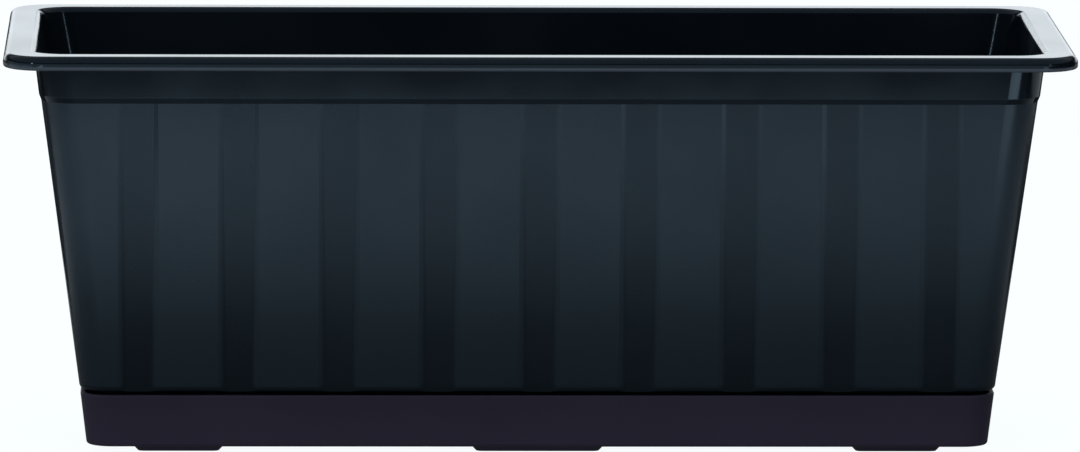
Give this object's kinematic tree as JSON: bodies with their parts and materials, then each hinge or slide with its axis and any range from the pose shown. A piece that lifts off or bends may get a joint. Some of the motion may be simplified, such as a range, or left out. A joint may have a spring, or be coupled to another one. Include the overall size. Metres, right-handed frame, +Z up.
{
  "type": "window box",
  "caption": "Rectangular plastic window box with fluted, tapered walls and a flanged rim, standing in a separate drip tray on low feet; the box lifts off the tray.",
  "frame": {"origin": "centre of the footprint, in the plane of the feet's soles", "axes": "+X along the box, +Y towards its back, +Z up"},
  "size_m": [0.4, 0.176, 0.153],
  "materials": {
    "box_plastic": "glossy moulded, near-black anthracite with a blue-green tint",
    "tray_plastic": "satin moulded, near-black with a purple tint"
  },
  "bodies": {
    "tray": {"drip_tray": "tray_plastic"},
    "box": {"planter_box": "box_plastic"}
  },
  "joints": [
    {"name": "box_lift", "type": "slide", "parent": "tray", "child": "box", "axis": [0, 0, 1], "range_m": [0, 0.06]}
  ]
}
